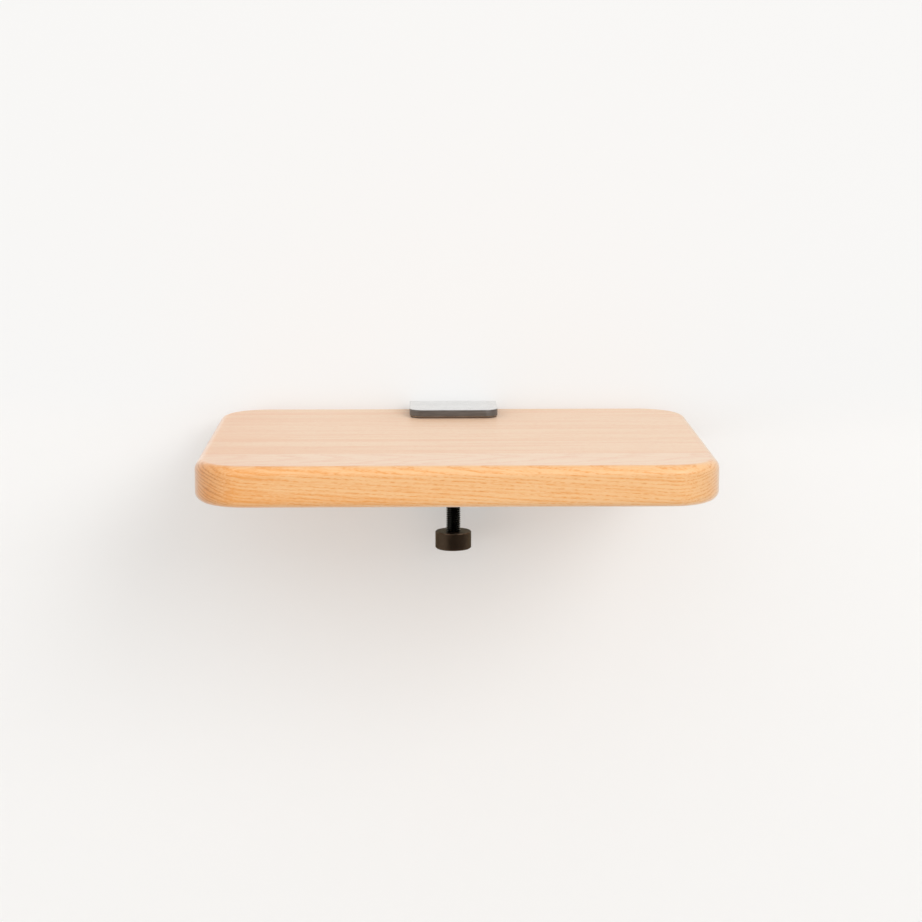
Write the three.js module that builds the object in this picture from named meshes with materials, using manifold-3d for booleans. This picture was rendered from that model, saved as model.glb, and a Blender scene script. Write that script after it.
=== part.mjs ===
// Small oak wall shelf, held at the middle of its back edge by a bent steel clamp.
// The clamp is one flat bar bent into a C: a web on the wall, a jaw over the board
// and a jaw under it. A knob on a threaded rod presses a swivel pad up against the
// board. Millimetres, +Z up. The origin is the middle of the web's wall face, +Y goes
// into the wall and +X runs along the board.

import * as THREE from 'three';
import { mergeVertices } from 'three/addons/utils/BufferGeometryUtils.js';
import Module from 'manifold-3d';

const wasm = await Module();
wasm.setup();

// Board
const BOARD_LENGTH = 320;
const BOARD_DEPTH = 240;
const BOARD_THICKNESS = 25.4;
const BOARD_CORNER_RADIUS = 32; // seen from above
const BOARD_EDGE_RADIUS = 6; // top and bottom edges, all round
const STAVE_COUNT = 5; // planks glued edge to edge

// Clamp bracket, bent from flat bar
const BAR_WIDTH = 60;
const BAR_THICKNESS = 5;
const BEND_RADIUS = 9; // inside of the bend
const JAW_OPENING = 50; // between the two jaws
const JAW_REACH = 56; // from the wall to the front of a jaw
const JAW_CORNER_RADIUS = 9;

// Countersunk holes for the four wall screws
const WALL_HOLE_DIAMETER = 5.5;
const WALL_HEAD_DIAMETER = 11;
const WALL_HOLE_FROM_EDGE = 12; // hole centre to the side of the bar
const WALL_HOLE_FROM_BEND = 6; // hole centre to the start of the bend

// Felt liner under the upper jaw
const LINER_THICKNESS = 0.7;
const LINER_INSET = 0.5; // from the edges of the jaw

// Threaded bush in the lower jaw
const SCREW_FROM_WEB = 25; // screw axis to the front face of the web
const BUSH_SPIGOT_DIAMETER = 14;
const BUSH_COLLAR_DIAMETER = 20;
const BUSH_COLLAR_HEIGHT = 5;
const BUSH_MOUTH_CHAMFER = 0.8;

// Clamp screw, a threaded rod with a turned pivot on its upper end
const THREAD_DIAMETER = 10;
const THREAD_CHAMFER = 1;
const SCREW_BELOW_JAW = 29; // lower jaw to the top of the knob
const PIVOT_DIAMETER = 7.6;
const PIVOT_LENGTH = 7.5;
const PIVOT_TIP_HEIGHT = 1.2;
const NECK_DIAMETER = 6.2; // groove that the snap ring runs in

// Knob
const KNOB_DIAMETER = 25;
const KNOB_HEIGHT = 12;
const KNOB_TOP_CHAMFER = 0.5;
const KNOB_BOTTOM_CHAMFER = 0.8;
const KNOB_FLOOR = 2.5; // solid metal under the end of the rod

// Grub screw that locks the knob to the rod
const GRUB_DIAMETER = 4;
const GRUB_LENGTH = 6;
const GRUB_POINT = 1;
const GRUB_SOCKET_ACROSS_FLATS = 2;
const GRUB_SOCKET_DEPTH = 2.2;

// Swivel pad
const PAD_DIAMETER = 20;
const PAD_CEILING = 2; // metal above the pivot
const PAD_EDGE_CHAMFER = 0.8;
const RING_WIRE_DIAMETER = 1.2;
const RING_FROM_MOUTH = 2; // middle of the snap ring above the bottom of the pad
const RING_OPEN_ANGLE = THREE.MathUtils.degToRad(50);

// Soft cap on the pad
const CAP_FACE = 2;
const CAP_WALL = 1.7;
const CAP_RIM = 4.5;
const CAP_EDGE_CHAMFER = 0.6;

// Clearances
const RUNNING_GAP = 0.3; // between pieces that move on each other
const SEAT_GAP = 0.2; // between pieces that are pressed, screwed or snapped together

// Facets
const TURNED_SIDES = 48;
const SMALL_SIDES = 24;
const CORNER_STEPS = 14;
const EDGE_STEPS = 5;
const RING_STEPS = 32;
const RING_WIRE_SIDES = 4; // per half turn of the wire's section
const OVERCUT = 1; // how far a cutting tool runs past the metal

// Heights that several pieces share
const WEB_HEIGHT = JAW_OPENING + 2 * BAR_THICKNESS;
const UPPER_JAW_UNDERSIDE = WEB_HEIGHT / 2 - BAR_THICKNESS;
const LOWER_JAW_TOP = UPPER_JAW_UNDERSIDE - JAW_OPENING;
const LOWER_JAW_UNDERSIDE = LOWER_JAW_TOP - BAR_THICKNESS;
const LINER_UNDERSIDE = UPPER_JAW_UNDERSIDE - LINER_THICKNESS;
const BOARD_TOP = LINER_UNDERSIDE - RUNNING_GAP;
const BOARD_UNDERSIDE = BOARD_TOP - BOARD_THICKNESS;
const CAP_TOP = BOARD_UNDERSIDE - RUNNING_GAP;
const PAD_TOP = CAP_TOP - CAP_FACE - SEAT_GAP;
const PIVOT_TOP = PAD_TOP - PAD_CEILING - RUNNING_GAP;
const PIVOT_SHOULDER = PIVOT_TOP - PIVOT_LENGTH;
const PAD_BOTTOM = PIVOT_SHOULDER + RUNNING_GAP + THREAD_CHAMFER;
const RING_HEIGHT = PAD_BOTTOM + RING_FROM_MOUTH;
const BUSH_TOP = LOWER_JAW_TOP + BUSH_COLLAR_HEIGHT;
const KNOB_TOP = LOWER_JAW_UNDERSIDE - SCREW_BELOW_JAW;
const KNOB_BOTTOM = KNOB_TOP - KNOB_HEIGHT;
const KNOB_BORE_FLOOR = KNOB_BOTTOM + KNOB_FLOOR;
const SCREW_BOTTOM = KNOB_BORE_FLOOR + SEAT_GAP;

// Places along Y, which is zero at the wall and negative in front of it
const BOARD_BACK = -seatedBoardBack();
const SCREW_AXIS = -(BAR_THICKNESS + SCREW_FROM_WEB);

// Radii that mating pieces share
const THREAD_RADIUS = THREAD_DIAMETER / 2;
const SPIGOT_RADIUS = BUSH_SPIGOT_DIAMETER / 2;
const PIVOT_RADIUS = PIVOT_DIAMETER / 2;
const NECK_RADIUS = NECK_DIAMETER / 2;
const PAD_RADIUS = PAD_DIAMETER / 2;
const PAD_BORE_RADIUS = PIVOT_RADIUS + RUNNING_GAP;
const RING_WIRE_RADIUS = RING_WIRE_DIAMETER / 2;
const RING_RADIUS = NECK_RADIUS + RUNNING_GAP + RING_WIRE_RADIUS;
const RING_HALF_GROOVE = RING_WIRE_RADIUS + RUNNING_GAP;
const GRUB_RADIUS = GRUB_DIAMETER / 2;
const GRUB_HEIGHT = (KNOB_TOP + KNOB_BORE_FLOOR) / 2;

// How near to the wall the board's back edge comes: it stops against the web, or its
// rounded top edge stops in the bend under the upper jaw
function seatedBoardBack() {
  const againstWeb = BAR_THICKNESS + RUNNING_GAP;
  const edgeRoom = BEND_RADIUS - RUNNING_GAP - BOARD_EDGE_RADIUS;
  const edgeRise = (BOARD_TOP - BOARD_EDGE_RADIUS) - (UPPER_JAW_UNDERSIDE - BEND_RADIUS);
  const inBend = Math.sqrt(Math.max(0, edgeRoom ** 2 - Math.max(0, edgeRise) ** 2));
  const againstBend = BAR_THICKNESS + BEND_RADIUS - BOARD_EDGE_RADIUS - inBend;
  return Math.max(againstWeb, againstBend);
}

function finish(color, roughness, metalness) {
  return new THREE.MeshStandardMaterial({ color, roughness, metalness });
}

const oak = () => finish(0xe8b98a, 0.5, 0);
const darkSteel = () => finish(0x5f574f, 0.38, 1);
const blackSteel = () => finish(0x16140f, 0.4, 1);
const brownSteel = () => finish(0x2f261c, 0.35, 1);
const springSteel = () => finish(0x8b8b88, 0.3, 1);
const felt = () => finish(0x4a443f, 0.95, 0);
const softPlastic = () => finish(0x24221f, 0.8, 0);

// Turn a closed geometry into a solid that can be joined and cut
function solidOf(geometry) {
  const bare = geometry.clone();
  bare.deleteAttribute('normal');
  bare.deleteAttribute('uv');
  const welded = mergeVertices(bare);
  const corners = welded.index.array;
  const triangles = [];
  for (let i = 0; i < corners.length; i += 3) {
    const [a, b, c] = corners.slice(i, i + 3);
    if (a !== b && b !== c && c !== a) triangles.push(a, b, c);
  }
  return new wasm.Manifold(new wasm.Mesh({
    numProp: 3,
    vertProperties: new Float32Array(welded.attributes.position.array),
    triVerts: new Uint32Array(triangles),
  }));
}

function geometryOf(solid) {
  const { vertProperties, triVerts } = solid.getMesh();
  const geometry = new THREE.BufferGeometry();
  geometry.setAttribute('position', new THREE.BufferAttribute(vertProperties, 3));
  geometry.setIndex(new THREE.BufferAttribute(triVerts, 1));
  geometry.computeVertexNormals();
  return geometry;
}

function cut(body, ...tools) {
  return tools.reduce((rest, tool) => rest.subtract(solidOf(tool)), solidOf(body));
}

function piece(name, geometry, material) {
  const mesh = new THREE.Mesh(geometry, material);
  mesh.name = name;
  return mesh;
}

// Revolve a list of [radius, height] about the Z axis. It runs anticlockwise round the
// metal, so it starts low on the axis and ends high on it, or closes on itself.
function turned(profile, sides = TURNED_SIDES) {
  const points = profile.map(([radius, height]) => new THREE.Vector2(radius, height));
  return new THREE.LatheGeometry(points, sides).rotateX(Math.PI / 2);
}

function toScrewAxis(geometry) {
  return geometry.translate(0, SCREW_AXIS, 0);
}

// Outline seen from above, even about the middle, with one radius for its two front
// corners and one for its two back corners
function planOutline(halfWidth, front, back, frontRadius, backRadius) {
  const quarter = Math.PI / 2;
  const corners = [
    [1, front + frontRadius, frontRadius, -quarter],
    [1, back - backRadius, backRadius, 0],
    [-1, back - backRadius, backRadius, quarter],
    [-1, front + frontRadius, frontRadius, 2 * quarter],
  ];
  const shape = new THREE.Shape();
  for (const [side, y, radius, from] of corners) {
    const x = side * (halfWidth - radius);
    if (radius > 0) shape.absarc(x, y, radius, from, from + quarter, false);
    else if (side === 1 && y === front) shape.moveTo(x, y);
    else shape.lineTo(x, y);
  }
  return shape;
}

// The whole board, rounded in plan and along its edges
function boardBlank() {
  const front = BOARD_BACK - BOARD_DEPTH;
  const half = BOARD_LENGTH / 2;
  const outline = planOutline(half, front, BOARD_BACK, BOARD_CORNER_RADIUS, BOARD_CORNER_RADIUS);
  const blank = new THREE.ExtrudeGeometry(outline, {
    depth: BOARD_THICKNESS - 2 * BOARD_EDGE_RADIUS,
    curveSegments: CORNER_STEPS,
    bevelThickness: BOARD_EDGE_RADIUS,
    bevelSize: BOARD_EDGE_RADIUS,
    bevelOffset: -BOARD_EDGE_RADIUS,
    bevelSegments: EDGE_STEPS,
  });
  return blank.translate(0, 0, BOARD_UNDERSIDE + BOARD_EDGE_RADIUS);
}

// The board is sawn along its glue lines; stave 1 is at the wall
function boardStaves() {
  const board = solidOf(boardBlank());
  const glueLine = (i) => BOARD_BACK - (BOARD_DEPTH * i) / STAVE_COUNT;
  const staves = [];
  for (let i = 0; i < STAVE_COUNT; i += 1) {
    const back = i === 0 ? BOARD_BACK + OVERCUT : glueLine(i);
    const front = i === STAVE_COUNT - 1 ? glueLine(i + 1) - OVERCUT : glueLine(i + 1);
    const plank = planOutline(BOARD_LENGTH, front, back, 0, 0);
    const slice = new THREE.ExtrudeGeometry(plank, { depth: 2 * BOARD_THICKNESS, bevelEnabled: false });
    slice.translate(0, 0, BOARD_UNDERSIDE - BOARD_THICKNESS / 2);
    const stave = board.intersect(solidOf(slice));
    staves.push(piece(`board_stave_${i + 1}`, geometryOf(stave), oak()));
  }
  return staves;
}

// Side view of the bent bar: u is the distance from the wall, v the height
function barSideView() {
  const half = WEB_HEIGHT / 2;
  const bend = BAR_THICKNESS + BEND_RADIUS;
  const quarter = Math.PI / 2;
  const shape = new THREE.Shape();
  shape.moveTo(JAW_REACH, -half);
  shape.lineTo(JAW_REACH, LOWER_JAW_TOP);
  shape.lineTo(bend, LOWER_JAW_TOP);
  shape.absarc(bend, LOWER_JAW_TOP + BEND_RADIUS, BEND_RADIUS, -quarter, -2 * quarter, true);
  shape.lineTo(BAR_THICKNESS, UPPER_JAW_UNDERSIDE - BEND_RADIUS);
  shape.absarc(bend, UPPER_JAW_UNDERSIDE - BEND_RADIUS, BEND_RADIUS, 2 * quarter, quarter, true);
  shape.lineTo(JAW_REACH, UPPER_JAW_UNDERSIDE);
  shape.lineTo(JAW_REACH, half);
  shape.lineTo(bend, half);
  shape.absarc(bend, half - bend, bend, quarter, 2 * quarter, false);
  shape.lineTo(0, bend - half);
  shape.absarc(bend, bend - half, bend, 2 * quarter, 3 * quarter, false);
  return shape;
}

function wallHoleCutter() {
  const hole = WALL_HOLE_DIAMETER / 2;
  const head = WALL_HEAD_DIAMETER / 2;
  const sinkDepth = head - hole; // 90 degree countersink
  return turned([
    [0, -OVERCUT],
    [hole, -OVERCUT],
    [hole, BAR_THICKNESS - sinkDepth],
    [head, BAR_THICKNESS],
    [head, BAR_THICKNESS + OVERCUT],
    [0, BAR_THICKNESS + OVERCUT],
  ], SMALL_SIDES).rotateX(Math.PI / 2);
}

function wallHoleCutters() {
  const x = BAR_WIDTH / 2 - WALL_HOLE_FROM_EDGE;
  const z = UPPER_JAW_UNDERSIDE - BEND_RADIUS - WALL_HOLE_FROM_BEND;
  const places = [[-x, z], [x, z], [-x, -z], [x, -z]];
  return places.map(([across, up]) => wallHoleCutter().translate(across, 0, up));
}

function clampBracket() {
  const alongBar = new THREE.Matrix4().makeBasis(
    new THREE.Vector3(0, -1, 0),
    new THREE.Vector3(0, 0, 1),
    new THREE.Vector3(-1, 0, 0),
  ).setPosition(BAR_WIDTH / 2, 0, 0);
  const bar = new THREE.ExtrudeGeometry(barSideView(), {
    depth: BAR_WIDTH,
    curveSegments: CORNER_STEPS,
    bevelEnabled: false,
  }).applyMatrix4(alongBar);
  const half = BAR_WIDTH / 2;
  const plan = planOutline(half, -JAW_REACH, OVERCUT, JAW_CORNER_RADIUS, 0);
  const planBlock = new THREE.ExtrudeGeometry(plan, {
    depth: WEB_HEIGHT + 2 * OVERCUT,
    curveSegments: CORNER_STEPS,
    bevelEnabled: false,
  }).translate(0, 0, -WEB_HEIGHT / 2 - OVERCUT);
  const bushHole = new THREE.CylinderGeometry(
    SPIGOT_RADIUS + SEAT_GAP, SPIGOT_RADIUS + SEAT_GAP, BAR_THICKNESS + 2 * OVERCUT, TURNED_SIDES,
  ).rotateX(Math.PI / 2).translate(0, 0, LOWER_JAW_TOP - BAR_THICKNESS / 2);
  const drilled = cut(bar, toScrewAxis(bushHole), ...wallHoleCutters());
  return piece('clamp_bracket', geometryOf(drilled.intersect(solidOf(planBlock))), darkSteel());
}

function jawLiner() {
  const half = BAR_WIDTH / 2 - LINER_INSET;
  const front = LINER_INSET - JAW_REACH;
  const back = -(BAR_THICKNESS + BEND_RADIUS);
  const corner = JAW_CORNER_RADIUS - LINER_INSET;
  const outline = planOutline(half, front, back, corner, 0);
  const liner = new THREE.ExtrudeGeometry(outline, {
    depth: LINER_THICKNESS,
    curveSegments: CORNER_STEPS,
    bevelEnabled: false,
  });
  return piece('jaw_liner', liner.translate(0, 0, LINER_UNDERSIDE), felt());
}

function threadedBush() {
  const bore = THREAD_RADIUS + RUNNING_GAP;
  const mouth = bore + BUSH_MOUTH_CHAMFER;
  const collar = BUSH_COLLAR_DIAMETER / 2;
  const seat = LOWER_JAW_TOP + SEAT_GAP;
  const bush = turned([
    [bore, LOWER_JAW_UNDERSIDE + BUSH_MOUTH_CHAMFER],
    [mouth, LOWER_JAW_UNDERSIDE],
    [SPIGOT_RADIUS, LOWER_JAW_UNDERSIDE],
    [SPIGOT_RADIUS, seat],
    [collar, seat],
    [collar, BUSH_TOP - BUSH_MOUTH_CHAMFER],
    [collar - BUSH_MOUTH_CHAMFER, BUSH_TOP],
    [mouth, BUSH_TOP],
    [bore, BUSH_TOP - BUSH_MOUTH_CHAMFER],
    [bore, LOWER_JAW_UNDERSIDE + BUSH_MOUTH_CHAMFER],
  ]);
  return piece('threaded_bush', toScrewAxis(bush), blackSteel());
}

function clampScrew() {
  const grooveLow = RING_HEIGHT - RING_HALF_GROOVE;
  const grooveHigh = RING_HEIGHT + RING_HALF_GROOVE;
  const screw = turned([
    [0, SCREW_BOTTOM],
    [THREAD_RADIUS - THREAD_CHAMFER, SCREW_BOTTOM],
    [THREAD_RADIUS, SCREW_BOTTOM + THREAD_CHAMFER],
    [THREAD_RADIUS, PIVOT_SHOULDER - THREAD_CHAMFER],
    [THREAD_RADIUS - THREAD_CHAMFER, PIVOT_SHOULDER],
    [PIVOT_RADIUS, PIVOT_SHOULDER],
    [PIVOT_RADIUS, grooveLow],
    [NECK_RADIUS, grooveLow],
    [NECK_RADIUS, grooveHigh],
    [PIVOT_RADIUS, grooveHigh],
    [PIVOT_RADIUS, PIVOT_TOP - PIVOT_TIP_HEIGHT],
    [PIVOT_RADIUS * 0.8, PIVOT_TOP - PIVOT_TIP_HEIGHT / 2],
    [PIVOT_RADIUS * 0.4, PIVOT_TOP],
    [0, PIVOT_TOP],
  ]);
  return piece('clamp_screw', toScrewAxis(screw), blackSteel());
}

function knob() {
  const radius = KNOB_DIAMETER / 2;
  const bore = THREAD_RADIUS + SEAT_GAP;
  const body = turned([
    [0, KNOB_BOTTOM],
    [radius - KNOB_BOTTOM_CHAMFER, KNOB_BOTTOM],
    [radius, KNOB_BOTTOM + KNOB_BOTTOM_CHAMFER],
    [radius, KNOB_TOP - KNOB_TOP_CHAMFER],
    [radius - KNOB_TOP_CHAMFER, KNOB_TOP],
    [bore, KNOB_TOP],
    [bore, KNOB_BORE_FLOOR],
    [0, KNOB_BORE_FLOOR],
  ]);
  const grubHole = GRUB_RADIUS + SEAT_GAP;
  const cutter = new THREE.CylinderGeometry(grubHole, grubHole, radius + OVERCUT, SMALL_SIDES)
    .translate(0, (radius + OVERCUT) / 2, GRUB_HEIGHT);
  return piece('knob', toScrewAxis(geometryOf(cut(body, cutter))), brownSteel());
}

// The grub screw lies along +Y, with its point against the rod and its socket at the back
function grubScrew() {
  const body = turned([
    [0, 0],
    [GRUB_RADIUS - GRUB_POINT, 0],
    [GRUB_RADIUS, GRUB_POINT],
    [GRUB_RADIUS, GRUB_LENGTH],
    [0, GRUB_LENGTH],
  ], SMALL_SIDES);
  const acrossCorners = GRUB_SOCKET_ACROSS_FLATS / Math.cos(Math.PI / 6);
  const depth = GRUB_SOCKET_DEPTH + OVERCUT;
  const socket = new THREE.CylinderGeometry(acrossCorners / 2, acrossCorners / 2, depth, 6)
    .rotateX(Math.PI / 2)
    .translate(0, 0, GRUB_LENGTH + OVERCUT - depth / 2);
  const screw = geometryOf(cut(body, socket))
    .rotateX(-Math.PI / 2)
    .translate(0, THREAD_RADIUS + SEAT_GAP, GRUB_HEIGHT);
  return piece('knob_grub_screw', toScrewAxis(screw), blackSteel());
}

function swivelPad() {
  const grooveLow = RING_HEIGHT - RING_HALF_GROOVE;
  const grooveHigh = RING_HEIGHT + RING_HALF_GROOVE;
  const grooveRadius = RING_RADIUS + RING_HALF_GROOVE;
  const pad = turned([
    [0, PAD_TOP - PAD_CEILING],
    [PAD_BORE_RADIUS, PAD_TOP - PAD_CEILING],
    [PAD_BORE_RADIUS, grooveHigh],
    [grooveRadius, grooveHigh],
    [grooveRadius, grooveLow],
    [PAD_BORE_RADIUS, grooveLow],
    [PAD_BORE_RADIUS, PAD_BOTTOM],
    [PAD_RADIUS - PAD_EDGE_CHAMFER, PAD_BOTTOM],
    [PAD_RADIUS, PAD_BOTTOM + PAD_EDGE_CHAMFER],
    [PAD_RADIUS, PAD_TOP],
    [0, PAD_TOP],
  ]);
  return piece('swivel_pad', toScrewAxis(pad), darkSteel());
}

// Open ring of round wire, lying flat in the groove of the pad
class OpenRing extends THREE.Curve {
  getPoint(t, target = new THREE.Vector3()) {
    const angle = RING_OPEN_ANGLE / 2 + t * (2 * Math.PI - RING_OPEN_ANGLE);
    return target.set(RING_RADIUS * Math.cos(angle), RING_RADIUS * Math.sin(angle), RING_HEIGHT);
  }
}

function snapRing() {
  const wire = new THREE.Shape();
  wire.absarc(0, 0, RING_WIRE_RADIUS, 0, 2 * Math.PI, false);
  const ring = new THREE.ExtrudeGeometry(wire, {
    steps: RING_STEPS,
    curveSegments: RING_WIRE_SIDES,
    bevelEnabled: false,
    extrudePath: new OpenRing(),
  });
  return piece('pad_snap_ring', toScrewAxis(ring), springSteel());
}

function padCap() {
  const inner = PAD_RADIUS + SEAT_GAP;
  const outer = inner + CAP_WALL;
  const ceiling = CAP_TOP - CAP_FACE;
  const cap = turned([
    [0, ceiling],
    [inner, ceiling],
    [inner, ceiling - CAP_RIM],
    [outer, ceiling - CAP_RIM],
    [outer, CAP_TOP - CAP_EDGE_CHAMFER],
    [outer - CAP_EDGE_CHAMFER, CAP_TOP],
    [0, CAP_TOP],
  ]);
  return piece('pad_cap', toScrewAxis(cap), softPlastic());
}

const board = new THREE.Group();
board.add(...boardStaves());

const clamp = new THREE.Group();
clamp.add(clampBracket(), jawLiner(), threadedBush());

const pad = new THREE.Group();
pad.add(swivelPad(), padCap(), snapRing());

const screw = new THREE.Group();
screw.add(clampScrew(), knob(), grubScrew());

const wallShelf = new THREE.Group();
wallShelf.add(board, clamp, pad, screw);

export default wallShelf;
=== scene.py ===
import math

import bmesh
import bpy
from bpy.props import FloatProperty, FloatVectorProperty, IntProperty, PointerProperty
from mathutils import Matrix, Vector


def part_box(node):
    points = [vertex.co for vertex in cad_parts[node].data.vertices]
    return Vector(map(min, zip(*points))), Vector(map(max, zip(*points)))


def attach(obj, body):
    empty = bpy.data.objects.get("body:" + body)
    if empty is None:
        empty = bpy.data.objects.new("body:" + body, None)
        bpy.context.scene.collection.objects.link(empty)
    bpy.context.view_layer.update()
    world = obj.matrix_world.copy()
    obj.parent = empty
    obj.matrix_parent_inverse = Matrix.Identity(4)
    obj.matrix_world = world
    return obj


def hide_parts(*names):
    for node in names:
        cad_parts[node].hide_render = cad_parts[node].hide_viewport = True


bl_info = {
    "name": "Clamped Wall Shelf",
    "version": (1, 0, 0),
    "blender": (4, 5, 0),
    "location": "3D View > Sidebar > Wall Shelf",
    "description": "Makes an oak wall shelf that a bent steel clamp holds at its back edge",
    "category": "Object",
}

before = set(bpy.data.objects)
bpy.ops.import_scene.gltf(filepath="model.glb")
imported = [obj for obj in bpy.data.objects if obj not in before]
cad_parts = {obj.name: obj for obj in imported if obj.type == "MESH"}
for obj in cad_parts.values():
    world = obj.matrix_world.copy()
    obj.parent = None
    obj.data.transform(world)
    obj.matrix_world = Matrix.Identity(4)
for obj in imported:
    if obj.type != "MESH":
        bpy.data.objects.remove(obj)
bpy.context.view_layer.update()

MM = 0.001
WELD = 0.002 * MM
SHARP_ANGLE = math.radians(30)
EASE_STEPS = 4

# Facets round each kind of turned or drilled shape.
TURNED_SIDES = 96
KNOB_SIDES = 128
GRUB_SIDES = 40
HOLE_SIDES = 48
BUSH_HOLE_SIDES = 64

# A metric thread, as shares of its pitch: half the flat crest, where the root starts, and the depth.
CREST_HALF = 1 / 16
ROOT_START = 5 / 12
THREAD_DEPTH = 0.6134


class BoardSettings(bpy.types.PropertyGroup):
    """Sizes and colours of the oak board"""

    corner_radius: FloatProperty(
        name="Corner Radius",
        description="Radius of the four corners, seen from above",
        default=32 * MM,
        unit="LENGTH",
    )
    edge_radius: FloatProperty(
        name="Edge Radius",
        description="Radius of the top and bottom edges",
        default=6 * MM,
        unit="LENGTH",
    )
    corner_steps: IntProperty(
        name="Corner Steps", description="Facets round each corner", default=32, min=4
    )
    edge_steps: IntProperty(
        name="Edge Steps", description="Facets over each rounded edge", default=12, min=2
    )
    pale_wood: FloatVectorProperty(
        name="Pale Wood",
        description="Colour of the dense late wood",
        default=(0.925, 0.545, 0.252),
        subtype="COLOR",
    )
    deep_wood: FloatVectorProperty(
        name="Deep Wood",
        description="Colour of the open early wood and of the darker fibres",
        default=(0.85, 0.355, 0.083),
        subtype="COLOR",
    )
    pore: FloatVectorProperty(
        name="Pores",
        description="Colour inside the open pores",
        default=(0.7, 0.29, 0.085),
        subtype="COLOR",
    )
    # Both end faces are darkened: oil soaked into the end grain, and on the left end, which faces away from
    # the key lamp, painted shade as well. The right end takes only this share.
    right_end_soak: FloatProperty(
        name="Right End Soak and Shade",
        description="How much of the left end's oil the right end took up",
        default=0.5,
        min=0.0,
        max=1.0,
    )


class BracketSettings(bpy.types.PropertyGroup):
    """Sizes and colours of the bent bar and of its felt liner"""

    bar_thickness: FloatProperty(
        name="Bar Thickness", description="Thickness of the flat bar", default=5 * MM, unit="LENGTH"
    )
    bend_radius: FloatProperty(
        name="Bend Radius", description="Inside radius of the bends", default=9 * MM, unit="LENGTH"
    )
    bend_steps: IntProperty(
        name="Bend Steps", description="Facets round each bend", default=28, min=4
    )
    corner_radius: FloatProperty(
        name="Corner Radius",
        description="Radius of the front corners of the jaws",
        default=9 * MM,
        unit="LENGTH",
    )
    edge_radius: FloatProperty(
        name="Edge Radius", description="Radius of the bar's edges", default=0.5 * MM, unit="LENGTH"
    )
    hole_radius: FloatProperty(
        name="Hole Radius", description="Wall screw holes", default=2.75 * MM, unit="LENGTH"
    )
    head_radius: FloatProperty(
        name="Head Radius", description="Mouth of each countersink", default=5.5 * MM, unit="LENGTH"
    )
    hole_across: FloatProperty(
        name="Hole Across", description="Hole centres from the middle", default=18 * MM, unit="LENGTH"
    )
    hole_up: FloatProperty(
        name="Hole Up",
        description="Hole centres above and below the middle",
        default=10 * MM,
        unit="LENGTH",
    )
    corner_steps: IntProperty(
        name="Corner Steps", description="Facets round each corner of the jaws", default=12, min=4
    )
    edge_steps: IntProperty(
        name="Edge Steps", description="Facets over each edge of the bar", default=3, min=2
    )
    steel: FloatVectorProperty(
        name="Steel", description="Colour of the bar's faces", default=(0.79, 0.79, 0.785), subtype="COLOR"
    )
    cut_edge: FloatVectorProperty(
        name="Cut Edge",
        description="Colour of the bar's cut edges",
        default=(0.201, 0.206, 0.212),
        subtype="COLOR",
    )
    felt: FloatVectorProperty(
        name="Felt", description="Colour of the liner", default=(0.06, 0.045, 0.035), subtype="COLOR"
    )


class ScrewSettings(bpy.types.PropertyGroup):
    """Sizes and colours of the clamp screw and of the bush that it runs in"""

    pitch: FloatProperty(
        name="Pitch", description="Rise of the thread in one turn", default=1.5 * MM, unit="LENGTH"
    )
    rows_per_pitch: IntProperty(
        name="Rows per Pitch", description="Facets up each turn of the thread", default=16, min=16
    )
    sides: IntProperty(
        name="Sides", description="Facets round the thread", default=48, min=12
    )
    chamfer: FloatProperty(
        name="Chamfer", description="Chamfer at both ends of the thread", default=1 * MM, unit="LENGTH"
    )
    pivot_radius: FloatProperty(
        name="Pivot Radius", description="Turned end in the pad", default=3.8 * MM, unit="LENGTH"
    )
    pivot_length: FloatProperty(
        name="Pivot Length", description="Height of the turned end", default=7.5 * MM, unit="LENGTH"
    )
    pivot_dome: FloatProperty(
        name="Pivot Dome", description="Height of the rounded tip", default=1.2 * MM, unit="LENGTH"
    )
    neck_radius: FloatProperty(
        name="Neck Radius", description="Groove for the snap ring", default=3.1 * MM, unit="LENGTH"
    )
    bush_bore: FloatProperty(
        name="Bush Bore", description="Radius of the bush's bore", default=5.3 * MM, unit="LENGTH"
    )
    bush_spigot: FloatProperty(
        name="Bush Spigot", description="Radius of the bush in the jaw", default=7 * MM, unit="LENGTH"
    )
    bush_collar: FloatProperty(
        name="Bush Collar", description="Height of the bush's collar", default=4.8 * MM, unit="LENGTH"
    )
    bush_chamfer: FloatProperty(
        name="Bush Chamfer", description="Chamfer at both ends of the bore", default=0.8 * MM, unit="LENGTH"
    )
    bush_gap: FloatProperty(
        name="Bush Gap", description="Room round the bush in the jaw", default=0.1 * MM, unit="LENGTH"
    )
    black: FloatVectorProperty(
        name="Black Oxide", description="Colour of the screw", default=(0.035, 0.034, 0.03), subtype="COLOR"
    )


class KnobSettings(bpy.types.PropertyGroup):
    """Sizes and colours of the knob and of its grub screw"""

    bore: FloatProperty(
        name="Bore", description="Radius of the hole for the rod", default=5.2 * MM, unit="LENGTH"
    )
    floor: FloatProperty(
        name="Floor", description="Metal under the end of the rod", default=2.5 * MM, unit="LENGTH"
    )
    top_chamfer: FloatProperty(
        name="Top Chamfer", description="Chamfer of the top edge", default=0.5 * MM, unit="LENGTH"
    )
    bottom_chamfer: FloatProperty(
        name="Bottom Chamfer", description="Chamfer of the bottom edge", default=0.8 * MM, unit="LENGTH"
    )
    grub_hole: FloatProperty(
        name="Grub Hole", description="Radius of the grub screw's hole", default=2.2 * MM, unit="LENGTH"
    )
    socket_across: FloatProperty(
        name="Socket", description="Grub screw's hexagon, across its flats", default=2 * MM, unit="LENGTH"
    )
    socket_depth: FloatProperty(
        name="Socket Depth", description="Depth of the hexagon", default=2.2 * MM, unit="LENGTH"
    )
    brown: FloatVectorProperty(
        name="Browned Steel",
        description="Colour of the knob",
        default=(0.07, 0.048, 0.032),
        subtype="COLOR",
    )


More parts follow.
